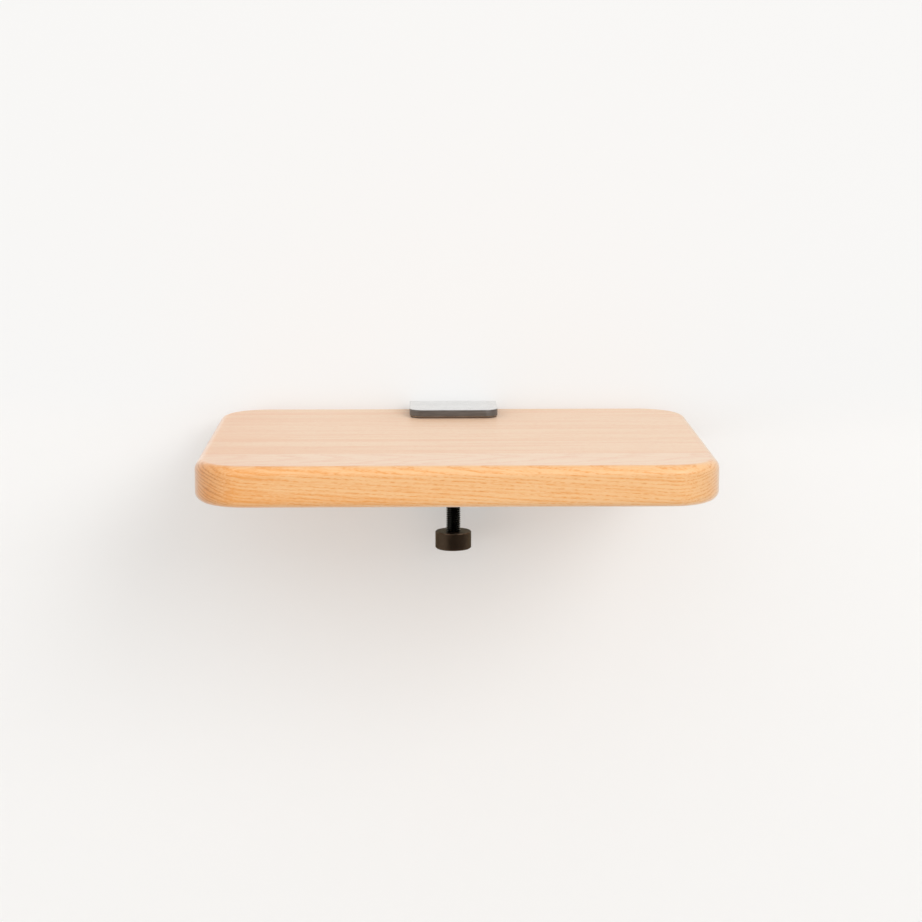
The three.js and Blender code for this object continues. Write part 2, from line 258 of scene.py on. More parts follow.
class PadSettings(bpy.types.PropertyGroup):
    """Sizes and colours of the swivel pad, its snap ring and its soft cap"""

    ceiling: FloatProperty(
        name="Ceiling", description="Metal above the pivot", default=2 * MM, unit="LENGTH"
    )
    bore: FloatProperty(
        name="Bore", description="Radius of the hole for the pivot", default=4.1 * MM, unit="LENGTH"
    )
    wire_radius: FloatProperty(
        name="Wire Radius", description="Half the snap ring's wire", default=0.6 * MM, unit="LENGTH"
    )
    ring_gap: FloatProperty(
        name="Ring Gap",
        description="Open angle of the snap ring",
        default=math.radians(50),
        unit="ROTATION",
    )
    running_gap: FloatProperty(
        name="Running Gap", description="Room round the snap ring", default=0.3 * MM, unit="LENGTH"
    )
    cap_face: FloatProperty(
        name="Cap Face", description="Thickness of the cap's face", default=2 * MM, unit="LENGTH"
    )
    cap_wall: FloatProperty(
        name="Cap Wall", description="Thickness of the cap's side", default=1.7 * MM, unit="LENGTH"
    )
    turned_steel: FloatVectorProperty(
        name="Turned Steel", description="Colour of the pad", default=(0.55, 0.53, 0.5), subtype="COLOR"
    )
    wire: FloatVectorProperty(
        name="Wire", description="Colour of the snap ring", default=(0.62, 0.61, 0.6), subtype="COLOR"
    )
    rubber: FloatVectorProperty(
        name="Rubber", description="Colour of the cap", default=(0.03, 0.029, 0.027), subtype="COLOR"
    )


class StageSettings(bpy.types.PropertyGroup):
    """Wall, floor, light and camera"""

    wall: FloatVectorProperty(
        name="Wall", description="Colour of the wall", default=(0.93, 0.925, 0.915), subtype="COLOR"
    )
    floor: FloatVectorProperty(
        name="Floor", description="Colour of the floor", default=(0.85, 0.845, 0.835), subtype="COLOR"
    )
    floor_paint: FloatVectorProperty(
        name="Floor Paint",
        description="Colour with which the floor takes light and shadow",
        default=(0.6, 0.59, 0.575),
        subtype="COLOR",
    )
    dark_card: FloatVectorProperty(
        name="Dark Card",
        description="Colour of the card that the steel reflects",
        default=(0.06, 0.055, 0.05),
        subtype="COLOR",
    )
    room_light: FloatProperty(
        name="Room Light", description="Strength of the light from all round", default=0.87
    )
    low_light: FloatVectorProperty(
        name="Low Light",
        description="Colour of the light that comes from below",
        default=(1.0, 0.95, 0.9),
        subtype="COLOR",
    )
    lit_point: FloatVectorProperty(
        name="Lit Point", description="What the lamps face", default=(0, -0.12, 0), subtype="TRANSLATION"
    )
    key_place: FloatVectorProperty(
        name="Key Place",
        description="Where the large soft lamp stands",
        default=(2.5, -4.2, 2.45),
        subtype="TRANSLATION",
    )
    key_power: FloatProperty(
        name="Key Light", description="Power of the large soft lamp", default=82, unit="POWER"
    )
    fill_place: FloatVectorProperty(
        name="Fill Place",
        description="Where the weak lamp stands that lifts the shadows",
        default=(-3.0, -2.8, -0.5),
        subtype="TRANSLATION",
    )
    fill_power: FloatProperty(
        name="Fill Light", description="Power of the weak lamp", default=13, unit="POWER"
    )
    strip_place: FloatVectorProperty(
        name="Strip Place",
        description="Where the narrow lamp stands that shows in polished corners",
        default=(2.3, -0.6, 0.1),
        subtype="TRANSLATION",
    )
    strip_power: FloatProperty(
        name="Strip Light", description="Power of the narrow lamp", default=1.6, unit="POWER"
    )
    camera_place: FloatVectorProperty(
        name="Camera Place",
        description="Where the camera stands",
        default=(-21.15 * MM, -1565.6 * MM, 255.3 * MM),
        subtype="TRANSLATION",
    )
    camera_pitch: FloatProperty(
        name="Camera Pitch",
        description="How far it looks down",
        default=math.radians(9.79),
        unit="ROTATION",
    )
    camera_yaw: FloatProperty(
        name="Camera Yaw",
        description="How far it looks to the right",
        default=math.radians(0.99),
        unit="ROTATION",
    )
    lens: FloatProperty(
        name="Lens", description="Focal length in millimetres on a 36 mm sensor", default=87.8
    )


SETTINGS = {
    "shelf_board": BoardSettings,
    "shelf_bracket": BracketSettings,
    "shelf_screw": ScrewSettings,
    "shelf_knob": KnobSettings,
    "shelf_pad": PadSettings,
    "shelf_stage": StageSettings,
}


class Graph:
    """Adds nodes to a tree and joins them. Values that are sockets are linked, others are set."""

    def __init__(self, tree):
        self.tree = tree

    def fill(self, socket, value):
        if isinstance(value, bpy.types.NodeSocket):
            self.tree.links.new(value, socket)
        else:
            socket.default_value = value

    def add(self, kind, inputs=None, **settings):
        node = self.tree.nodes.new(kind)
        for name, value in settings.items():
            setattr(node, name, value)
        for name, value in (inputs or {}).items():
            self.fill(node.inputs[name], value)
        return node

    def math(self, operation, *values, clamp=False):
        node = self.add("ShaderNodeMath", dict(enumerate(values)), operation=operation, use_clamp=clamp)
        return node.outputs[0]

    def vector(self, operation, *values):
        node = self.add("ShaderNodeVectorMath", dict(enumerate(values)), operation=operation)
        return node.outputs[0]

    def distance(self, first, second):
        """The length that two sides at a right angle span."""
        squares = [self.math("MULTIPLY", side, side) for side in (first, second)]
        return self.math("SQRT", self.math("ADD", *squares))

    def scaled(self, vector, size):
        """The vector divided by a size in metres along each axis."""
        return self.vector("MULTIPLY", vector, tuple(1 / length for length in size))

    def ramp(self, value, from_low, from_high, to_low=0.0, to_high=1.0, smooth=True):
        inputs = {
            "Value": value,
            "From Min": from_low,
            "From Max": from_high,
            "To Min": to_low,
            "To Max": to_high,
        }
        kind = "SMOOTHSTEP" if smooth else "LINEAR"
        return self.add("ShaderNodeMapRange", inputs, interpolation_type=kind).outputs["Result"]

    def noise(self, vector, seed=0.0, detail=2.0, roughness=0.5):
        inputs = {"Vector": vector, "W": seed, "Scale": 1.0, "Detail": detail, "Roughness": roughness}
        return self.add("ShaderNodeTexNoise", inputs, noise_dimensions="4D").outputs[0]

    def blend(self, share, first, second):
        node = self.add("ShaderNodeMix", data_type="RGBA")
        for index, value in ((0, share), (6, first), (7, second)):
            self.fill(node.inputs[index], value)
        return node.outputs[2]

    def split(self, vector):
        return self.add("ShaderNodeSeparateXYZ", {0: vector}).outputs

    def combine(self, x, y, z):
        return self.add("ShaderNodeCombineXYZ", {0: x, 1: y, 2: z}).outputs[0]


def opaque(colour):
    """A colour with the fourth number that a shader's socket takes."""
    return (*colour, 1.0)


def shader(name):
    """A new material with its graph and its Principled node."""
    material = bpy.data.materials.new(name)
    material.use_nodes = True
    material.node_tree.nodes.clear()
    graph = Graph(material.node_tree)
    surface = graph.add("ShaderNodeBsdfPrincipled")
    graph.add("ShaderNodeOutputMaterial", {"Surface": surface.outputs[0]})
    return material, graph, surface


def object_place(graph):
    return graph.add("ShaderNodeTexCoord").outputs["Object"]


def seen_directly(graph):
    """1 for what the camera sees straight, in polish or through glass, and 0 for what lights the room."""
    rays = graph.add("ShaderNodeLightPath").outputs
    seen = graph.math("MAXIMUM", rays["Is Camera Ray"], rays["Is Glossy Ray"])
    return graph.math("MAXIMUM", seen, rays["Is Transmission Ray"])


def relief(graph, surface, height, depth, strength=1.0):
    """Bump from a height between 0 and 1, over a depth in metres."""
    bump = graph.add("ShaderNodeBump", {"Height": height, "Distance": depth, "Strength": strength})
    graph.tree.links.new(bump.outputs[0], surface.inputs["Normal"])


def oak_figure(settings):
    """Node group that gives the colour, roughness and height of oak at a place in the log."""
    tree = bpy.data.node_groups.new("Oak Figure", "ShaderNodeTree")
    graph = Graph(tree)
    for name in ("Pith Across", "Pith Up", "Lean Across", "Lean Up", "Ring Width", "Tone", "Bands", "Seed"):
        tree.interface.new_socket(name=name, in_out="INPUT", socket_type="NodeSocketFloat")
    for name, kind in (("Color", "Color"), ("Roughness", "Float"), ("Height", "Float")):
        tree.interface.new_socket(name=name, in_out="OUTPUT", socket_type="NodeSocket" + kind)
    log = graph.add("NodeGroupInput").outputs
    place = object_place(graph)
    seed = log["Seed"]
    along, across, up = graph.split(place)[:3]

    def from_pith(value, middle, lean):
        centre = graph.math("MULTIPLY_ADD", along, log[lean], log[middle])
        return graph.math("SUBTRACT", value, centre)

    aside = from_pith(across, "Pith Across", "Lean Across")
    above = from_pith(up, "Pith Up", "Lean Up")
    in_log = graph.combine(along, aside, above)
    radius = graph.distance(aside, above)

    wander = graph.noise(graph.scaled(in_log, (150 * MM, 26 * MM, 26 * MM)), seed, detail=2)
    ripple = graph.noise(graph.scaled(in_log, (13 * MM, 5 * MM, 5 * MM)), seed, detail=2)
    bent = graph.math("MULTIPLY_ADD", graph.math("SUBTRACT", wander, 0.5), 7 * MM, radius)
    bent = graph.math("MULTIPLY_ADD", graph.math("SUBTRACT", ripple, 0.5), 1.1 * MM, bent)
    rings = graph.math("DIVIDE", bent, log["Ring Width"])
    years = graph.noise(graph.combine(graph.math("MULTIPLY", rings, 0.4), 0.0, 0.0), seed, detail=1)
    rings = graph.math("MULTIPLY_ADD", years, 1.3, rings)
    season = graph.math("FRACT", rings)
    early = graph.math(
        "MAXIMUM",
        graph.ramp(season, 0.0, 0.48, 1.0, 0.0),
        graph.ramp(season, 0.86, 1.0),
    )

    band = graph.noise(graph.scaled(in_log, (300 * MM, 11 * MM, 11 * MM)), seed, detail=2)
    other_seed = graph.math("ADD", seed, 5)
    vein = graph.noise(graph.scaled(in_log, (220 * MM, 6 * MM, 6 * MM)), other_seed, detail=1)
    vein = graph.ramp(graph.math("ABSOLUTE", graph.math("SUBTRACT", vein, 0.5)), 0.0, 0.07, 1.0, 0.0)
    fibre = graph.noise(graph.scaled(in_log, (24 * MM, 0.8 * MM, 0.8 * MM)), seed, detail=2)
    vessel = graph.noise(graph.scaled(in_log, (3 * MM, 0.48 * MM, 0.48 * MM)), seed, detail=1)
    dashes = graph.ramp(vessel, 0.44, 0.62)
    round_pith = graph.math("MULTIPLY", graph.math("ARCTAN2", aside, above), 70 * MM)
    ray_place = graph.scaled(graph.combine(along, round_pith, radius), (2.6 * MM, 0.25 * MM, 5 * MM))
    ray = graph.ramp(graph.noise(ray_place, seed, detail=1), 0.62, 0.74)

    pore_rows = graph.math("MULTIPLY", early, graph.math("MULTIPLY_ADD", dashes, 0.5, 0.28))
    # The wood grows darker towards the left end, and more so over its last 75 mm: painted shade of the end
    # that faces away from the key lamp.
    depth = graph.math("MULTIPLY_ADD", along, -0.7, log["Tone"])
    depth = graph.math("ADD", depth, graph.ramp(along, -160 * MM, -85 * MM, 0.38, 0.0))
    depth = graph.math("MULTIPLY_ADD", graph.ramp(band, 0.34, 0.66), log["Bands"], depth)
    depth = graph.math("MULTIPLY_ADD", vein, 0.24, depth)
    depth = graph.math("MULTIPLY_ADD", graph.ramp(fibre, 0.36, 0.64), 0.36, depth)
    depth = graph.math("MULTIPLY_ADD", dashes, 0.26, depth)
    depth = graph.math("ADD", depth, pore_rows, clamp=True)
    open_pores = graph.math("MULTIPLY", graph.ramp(vessel, 0.6, 0.72), graph.ramp(early, 0.15, 0.8))

    facing_along = graph.add("ShaderNodeAttribute", attribute_name="end_face").outputs["Fac"]
    end_grain_and_shade = graph.ramp(facing_along, 0.1, 0.8)

    wood = graph.blend(depth, opaque(settings.pale_wood), opaque(settings.deep_wood))
    silver = tuple(0.55 * a + 0.45 * b for a, b in zip(settings.pale_wood, (0.9, 0.62, 0.4)))
    wood = graph.blend(graph.math("MULTIPLY", ray, 0.4), wood, opaque(silver))
    wood = graph.blend(graph.math("MULTIPLY", open_pores, 0.5), wood, opaque(settings.pore))
    # End faces darker: oil soaked into the end grain, and on the left end more, painted shade of the end that
    # faces away from the key lamp.
    soaked_and_shaded = graph.vector("MULTIPLY", wood, (0.6, 0.52, 0.46))
    pores_open = graph.math("MULTIPLY_ADD", dashes, 0.4, 0.45)
    pores_open = graph.math("MULTIPLY", graph.ramp(early, 0.0, 0.8), pores_open)
    pores_open = graph.math("MULTIPLY", pores_open, graph.math("MULTIPLY_ADD", ray, -0.6, 1.0))
    soaking_and_shading = graph.math("MULTIPLY", end_grain_and_shade, graph.math("MULTIPLY_ADD", pores_open, 0.65, 0.35))
    wood = graph.blend(soaking_and_shading, wood, soaked_and_shaded)

    height = graph.math("MULTIPLY_ADD", open_pores, -0.7, graph.math("MULTIPLY", fibre, 0.35))
    height = graph.math("MULTIPLY_ADD", early, -0.12, height)
    roughness = graph.math("MULTIPLY_ADD", depth, 0.08, 0.4)
    roughness = graph.math("MULTIPLY_ADD", open_pores, 0.15, roughness)
    graph.add("NodeGroupOutput", {"Color": wood, "Roughness": roughness, "Height": height})
    return tree


def oak(name, figure, log, lustre, polish):
    """One plank's wood. The log says where the pith lies, how it leans and how wide the rings are. The
    lustre is the sheen of the fibres, and the polish that of the oil."""
    material, graph, surface = shader(name)
    group = graph.add("ShaderNodeGroup", node_tree=figure)
    for socket, value in log.items():
        group.inputs[socket].default_value = value
    graph.fill(surface.inputs["Base Color"], group.outputs["Color"])
    graph.fill(surface.inputs["Roughness"], group.outputs["Roughness"])
    surface.inputs["Coat Weight"].default_value = polish
    surface.inputs["Coat Roughness"].default_value = 0.36
    surface.inputs["Sheen Weight"].default_value = lustre
    surface.inputs["Sheen Roughness"].default_value = 0.35
    surface.inputs["Sheen Tint"].default_value = (1.0, 0.98, 0.94, 1.0)
    relief(graph, surface, group.outputs["Height"], 0.02 * MM, 0.04)
    return material


def bar_steel(settings):
    """Flat bar, brushed along its length, with dark cut edges. The pattern follows it round its bends."""
    material, graph, surface = shader("Burnished Bar Steel")
    place = graph.add("ShaderNodeAttribute", attribute_name="bar_place").outputs["Vector"]
    facing = graph.add("ShaderNodeAttribute", attribute_name="bar_facing").outputs["Fac"]
    edge = graph.ramp(facing, 0.35, 0.75, 1.0, 0.0)
    brush = graph.noise(graph.scaled(place, (0.12 * MM, 18 * MM, 0.12 * MM)), 1.0, detail=3, roughness=0.7)
    cloud = graph.noise(graph.scaled(place, (9 * MM, 14 * MM, 9 * MM)), 2.0, detail=3)
    pits = graph.noise(graph.scaled(place, (0.5 * MM, 0.5 * MM, 0.5 * MM)), 3.0, detail=2)
    dark = tuple(0.84 * value for value in settings.steel)
    mottle = graph.math("MULTIPLY", graph.ramp(cloud, 0.35, 0.7), 0.4)
    mottle = graph.math("MULTIPLY_ADD", graph.ramp(brush, 0.4, 0.7), 0.25, mottle)
    bright = graph.blend(mottle, opaque(settings.steel), opaque(dark))
    scale = tuple(0.72 * value for value in settings.cut_edge)
    striped = graph.noise(graph.scaled(place, (9 * MM, 9 * MM, 0.4 * MM)), 10.0, detail=2)
    burnt = graph.blend(graph.ramp(striped, 0.35, 0.65), opaque(settings.cut_edge), opaque(scale))
    graph.fill(surface.inputs["Base Color"], graph.blend(edge, bright, burnt))
    rough = graph.math("MULTIPLY_ADD", cloud, 0.1, graph.math("MULTIPLY_ADD", brush, 0.12, 0.14))
    graph.fill(surface.inputs["Roughness"], graph.math("MULTIPLY_ADD", edge, 0.2, rough))
    surface.inputs["Metallic"].default_value = 1.0
    height = graph.math("MULTIPLY_ADD", graph.ramp(pits, 0.66, 0.8), -0.6, brush)
    relief(graph, surface, height, 0.004 * MM, 0.25)
    return material


def turned_steel(name, colour, edge_tint, roughness, groove, worn_and_highlit_rims=()):
    """Steel from the lathe: fine rings on its faces, fine lines round its sides, and rims that are lighter in
    patches, partly from wear and partly a painted highlight.
    """
    material, graph, surface = shader(name)
    place = object_place(graph)
    centre = tuple(screw_axis())
    along, across, up = graph.split(graph.vector("SUBTRACT", place, centre))[:3]
    radius = graph.distance(along, across)
    lathed = graph.scaled(graph.combine(radius, 0.0, up), (0.09 * MM, 1.0, 0.09 * MM))
    rings = graph.noise(lathed, 4.0, detail=2)
    cloud = graph.noise(graph.scaled(place, (4 * MM, 4 * MM, 4 * MM)), 5.0, detail=3)
    worn = tuple(min(1.0, 1.5 * value + 0.006) for value in colour)
    clouded = graph.ramp(cloud, 0.5, 0.8, 0.0, 0.4)
    share = graph.math("MULTIPLY_ADD", graph.ramp(rings, 0.5, 0.75), 0.5, clouded)
    finish = graph.blend(share, opaque(colour), opaque(worn))
    # Near each rim the steel is lighter in patches: rubbed wear, and a painted highlight where the chamfers
    # catch the light.
    rubbed_and_highlit = tuple(min(1.0, 3.4 * value + 0.06) for value in colour)
    for rim_radius, rim_height in worn_and_highlit_rims:
        off_face = graph.math("ABSOLUTE", graph.math("SUBTRACT", up, rim_height))
        off_side = graph.math("ABSOLUTE", graph.math("SUBTRACT", radius, rim_radius))
        near = graph.ramp(graph.math("ADD", off_face, off_side), 0.3 * MM, 0.8 * MM, 1.0, 0.0)
        rim_wear_and_highlight = graph.math("MULTIPLY", near, graph.ramp(cloud, 0.42, 0.62, 0.05, 0.9))
        finish = graph.blend(rim_wear_and_highlight, finish, opaque(rubbed_and_highlit))
    graph.fill(surface.inputs["Base Color"], finish)
    rough = graph.math("MULTIPLY_ADD", graph.math("SUBTRACT", cloud, 0.5), 0.2, roughness)
    graph.fill(surface.inputs["Roughness"], rough)
    surface.inputs["Metallic"].default_value = 1.0
    surface.inputs["Specular Tint"].default_value = opaque(edge_tint)
    relief(graph, surface, rings, groove, 0.5)
    return material


def felt(settings):
    material, graph, surface = shader("Dark Felt")
    place = object_place(graph)
    fuzz = graph.noise(graph.scaled(place, (0.15 * MM,) * 3), 6.0, detail=3, roughness=0.7)
    clump = graph.noise(graph.scaled(place, (1.5 * MM,) * 3), 7.0, detail=2)
    light = tuple(2.2 * value for value in settings.felt)
    share = graph.math("MULTIPLY_ADD", fuzz, 0.6, graph.math("MULTIPLY", clump, 0.4))
    graph.fill(surface.inputs["Base Color"], graph.blend(share, opaque(settings.felt), opaque(light)))
    surface.inputs["Roughness"].default_value = 0.95
    surface.inputs["Sheen Weight"].default_value = 0.3
    relief(graph, surface, fuzz, 0.1 * MM)
    return material


def rubber(settings):
    material, graph, surface = shader("Black Rubber")
    place = object_place(graph)
    skin = graph.noise(graph.scaled(place, (0.3 * MM,) * 3), 8.0, detail=3, roughness=0.6)
    dust = graph.noise(graph.scaled(place, (5 * MM,) * 3), 9.0, detail=3)
    dusty = tuple(value + 0.03 for value in settings.rubber)
    graph.fill(
        surface.inputs["Base Color"],
        graph.blend(graph.ramp(dust, 0.4, 0.8), opaque(settings.rubber), opaque(dusty)),
    )
    graph.fill(surface.inputs["Roughness"], graph.math("MULTIPLY_ADD", skin, 0.2, 0.6))
    relief(graph, surface, skin, 0.03 * MM, 0.5)
    return material


def link(obj):
    bpy.context.scene.collection.objects.link(obj)
    return obj


def mesh_object(name, bm):
    mesh = bpy.data.meshes.new(name)
    bm.to_mesh(mesh)
    bm.free()
    return link(bpy.data.objects.new(name, mesh))


def discard(obj):
    mesh = obj.data
    bpy.data.objects.remove(obj)
    bpy.data.meshes.remove(mesh)


def evaluated(obj):
    """Plain mesh of what the object's modifiers make."""
    graph = bpy.context.evaluated_depsgraph_get()
    return bpy.data.meshes.new_from_object(obj.evaluated_get(graph))


def settled(obj):
    """Puts what the modifiers make in the object's mesh, and takes the modifiers off."""
    made = evaluated(obj)
    old = obj.data
    obj.modifiers.clear()
    obj.data = made
    made.name = obj.name
    bpy.data.meshes.remove(old)
    return obj


def finish_piece(name, bm, material, body, slot, *nodes):
    """A closed mesh with crisp edges and even shading, riding on its body in place of its CAD nodes."""
    bmesh.ops.remove_doubles(bm, verts=bm.verts, dist=WELD)
    bmesh.ops.dissolve_degenerate(bm, edges=bm.edges, dist=WELD)
    bmesh.ops.recalc_face_normals(bm, faces=bm.faces)
    piece = mesh_object(name, bm)
    piece.data.materials.clear()
    piece.data.materials.append(material)
    piece.data.shade_smooth()
    piece.data.set_sharp_from_angle(angle=SHARP_ANGLE)
    normals = piece.modifiers.new("Even Shading", "WEIGHTED_NORMAL")
    normals.keep_sharp = True
    settled(piece)
    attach(piece, body)
    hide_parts(*nodes)
    return piece


def screw_axis():
    """Where the clamp screw's axis crosses the height of the wall face's middle."""
    low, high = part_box("clamp_screw")
    return Vector(((low.x + high.x) / 2, (low.y + high.y) / 2, 0))


def rounded_outline(low, high, near_radius, far_radius, inset, steps):
    """Rounded rectangle seen from above, moved in by an inset; near is the low-Y side."""
    corners = (
        (high.x - near_radius, low.y + near_radius, near_radius, -90),
        (high.x - far_radius, high.y - far_radius, far_radius, 0),
        (low.x + far_radius, high.y - far_radius, far_radius, 90),
        (low.x + near_radius, low.y + near_radius, near_radius, 180),
    )
    points = []
    for x, y, radius, start in corners:
        for step in range(steps + 1):
            angle = math.radians(start + 90 * step / steps)
            reach = radius - inset
            points.append((x + reach * math.cos(angle), y + reach * math.sin(angle)))
    return points


def rounded_slab(low, high, near_radius, far_radius, edge_radius, corner_steps, edge_steps):
    """Plate with rounded corners and rounded top and bottom edges."""
    bm = bmesh.new()
    sweep = [math.pi / 2 * step / edge_steps for step in range(edge_steps + 1)]
    levels = [(low.z + edge_radius * (1 - math.sin(a)), a) for a in reversed(sweep)]
    levels += [(high.z - edge_radius * (1 - math.sin(a)), a) for a in sweep]
    rings = []
    for height, angle in levels:
        inset = edge_radius * (1 - math.cos(angle))
        outline = rounded_outline(low, high, near_radius, far_radius, inset, corner_steps)
        rings.append([bm.verts.new((x, y, height)) for x, y in outline])
    for below, above in zip(rings, rings[1:]):
        for i, vertex in enumerate(below):
            j = (i + 1) % len(below)
            bm.faces.new((vertex, below[j], above[j], above[i]))
    bm.faces.new(reversed(rings[0]))
    bm.faces.new(rings[-1])
    return bm


def cut_at(bm, y, keep_far=False, keep_near=False):
    """Cuts across the mesh at y. Where one side is kept, the cut is closed."""
    parts = [*bm.verts, *bm.edges, *bm.faces]
    cut = bmesh.ops.bisect_plane(
        bm,
        geom=parts,
        dist=WELD / 10,
        plane_co=(0, y, 0),
        plane_no=(0, 1, 0),
        clear_outer=keep_near,
        clear_inner=keep_far,
    )
    if keep_far or keep_near:
        rim = [part for part in cut["geom_cut"] if isinstance(part, bmesh.types.BMEdge)]
        bmesh.ops.contextual_create(bm, geom=rim)


def eased_profile(points):
    """Profile of (radius, height) points, with each corner that gives a third number rounded to it."""
    profile = []
    for i, point in enumerate(points):
        corner = Vector(point[:2])
        if len(point) == 2:
            profile.append(tuple(corner))
            continue
        before = (Vector(points[i - 1][:2]) - corner).normalized()
        after = (Vector(points[(i + 1) % len(points)][:2]) - corner).normalized()
        half = before.angle(after) / 2
        ease = point[2]
        centre = corner + (before + after).normalized() * (ease / math.sin(half))
        start = corner + before * (ease / math.tan(half)) - centre
        end = corner + after * (ease / math.tan(half)) - centre
        sweep = math.atan2(start.x * end.y - start.y * end.x, start.dot(end))
        for step in range(EASE_STEPS + 1):
            turn = Matrix.Rotation(sweep * step / EASE_STEPS, 2)
            profile.append(tuple(centre + turn @ start))
    return profile


def add_turned(bm, points, sides, centre=None, closed=False):
    """Revolves a profile about the screw axis. It starts and ends on the axis, or closes on itself."""
    centre = centre or screw_axis()
    rings = []
    for radius, height in eased_profile(points):
        if radius < WELD:
            rings.append([bm.verts.new((centre.x, centre.y, height))] * sides)
            continue
        ring = []
        for side in range(sides):
            angle = 2 * math.pi * side / sides
            across, along = radius * math.cos(angle), radius * math.sin(angle)
            ring.append(bm.verts.new((centre.x + across, centre.y + along, height)))
        rings.append(ring)
    pairs = list(zip(rings, rings[1:]))
    if closed:
        pairs.append((rings[-1], rings[0]))
    for below, above in pairs:
        for i in range(sides):
            j = (i + 1) % sides
            corners = list(dict.fromkeys((below[i], below[j], above[j], above[i])))
            if len(corners) > 2:
                bm.faces.new(corners)
    return bm


def carved(bm, cutters):
    """The mesh less its cutters."""
    body = mesh_object("body_in_work", bm)
    tool = mesh_object("cutter_in_work", cutters)
    cut = body.modifiers.new("Cut", "BOOLEAN")
    cut.operation = "DIFFERENCE"
    cut.solver = "EXACT"
    cut.object = tool
    made = evaluated(body)
    result = bmesh.new()
    result.from_mesh(made)
    bpy.data.meshes.remove(made)
    discard(body)
    discard(tool)
    return result


def geometry_tree(name, inputs):
    """A new Geometry Nodes tree with named inputs, and its graph."""
    tree = bpy.data.node_groups.new(name, "GeometryNodeTree")
    tree.interface.new_socket(name="Geometry", in_out="INPUT", socket_type="NodeSocketGeometry")
    for label, kind in inputs.items():
        tree.interface.new_socket(name=label, in_out="INPUT", socket_type="NodeSocket" + kind)
    tree.interface.new_socket(name="Geometry", in_out="OUTPUT", socket_type="NodeSocketGeometry")
    graph = Graph(tree)
    return tree, graph, graph.add("NodeGroupInput").outputs


def close_tree(graph, geometry, material):
    """Ends a tree with real geometry and its material."""
    real = graph.add("GeometryNodeRealizeInstances", {"Geometry": geometry}).outputs[0]
    painted = graph.add("GeometryNodeSetMaterial", {"Geometry": real, "Material": material})
    graph.add("NodeGroupOutput", {"Geometry": painted.outputs[0]})


def run_tree(tree, values, bm=None):
    """Mesh that a tree makes from the values of its inputs, from a mesh where it starts with one."""
    obj = mesh_object(tree.name.replace(" ", "_").lower(), bm or bmesh.new())
    modifier = obj.modifiers.new(tree.name, "NODES")
    modifier.node_group = tree
    for item in tree.interface.items_tree:
        if item.in_out == "INPUT" and item.name in values:
            modifier[item.identifier] = values[item.name]
    made = evaluated(obj)
    result = bmesh.new()
    result.from_mesh(made)
    bpy.data.meshes.remove(made)
    discard(obj)
    return result


def thread_tree():
    """Right-hand thread of 60 degrees: a grid wound round the axis, its rows rising with the angle."""
    tree, graph, given = geometry_tree("Screw Thread", {
        "Radius": "Float",
        "Pitch": "Float",
        "Bottom": "Float",
        "Length": "Float",
        "Chamfer": "Float",
        "Sides": "Int",
        "Rows per Pitch": "Int",
        "Centre": "Vector",
        "Material": "Material",
    })
    turns = graph.math("CEIL", graph.math("DIVIDE", given["Length"], given["Pitch"]))
    turns = graph.math("ADD", turns, 2)
    rows = graph.math("MULTIPLY_ADD", turns, given["Rows per Pitch"], 1)
    sides = graph.math("ADD", given["Sides"], 1)
    grid = graph.add("GeometryNodeMeshGrid", {
        "Size X": 1,
        "Size Y": 1,
        "Vertices X": sides,
        "Vertices Y": rows,
    })
    x, y = graph.split(graph.add("GeometryNodeInputPosition").outputs[0])[:2]
    angle_share = graph.math("ADD", x, 0.5)
    wound = graph.math("MULTIPLY", graph.math("ADD", y, 0.5), turns)
    rise = graph.math("SUBTRACT", graph.math("ADD", wound, angle_share), 2)
    height = graph.math("MULTIPLY", rise, given["Pitch"])
    height = graph.math("MINIMUM", graph.math("MAXIMUM", height, 0), given["Length"])

    from_crest = graph.math("ABSOLUTE", graph.math("SUBTRACT", graph.math("FRACT", wound), 0.5))
    sunk = graph.ramp(from_crest, CREST_HALF, ROOT_START, smooth=False)
    depth = graph.math("MULTIPLY", graph.math("MULTIPLY", sunk, given["Pitch"]), THREAD_DEPTH)
    radius = graph.math("SUBTRACT", given["Radius"], depth)
    end_radius = graph.math("SUBTRACT", given["Radius"], given["Chamfer"])
    left = graph.math("SUBTRACT", given["Length"], height)
    for from_end in (height, left):
        radius = graph.math("MINIMUM", radius, graph.math("ADD", end_radius, from_end))

    angle = graph.math("MULTIPLY", angle_share, 2 * math.pi)
    place = graph.combine(
        graph.math("MULTIPLY", radius, graph.math("COSINE", angle)),
        graph.math("MULTIPLY", radius, graph.math("SINE", angle)),
        graph.math("ADD", height, given["Bottom"]),
    )
    place = graph.vector("ADD", place, given["Centre"])
    wound_grid = graph.add("GeometryNodeSetPosition", {"Geometry": grid.outputs[0], "Position": place})
    welded = graph.add("GeometryNodeMergeByDistance", {"Geometry": wound_grid.outputs[0], "Distance": WELD})
    close_tree(graph, welded.outputs[0], given["Material"])
    return tree


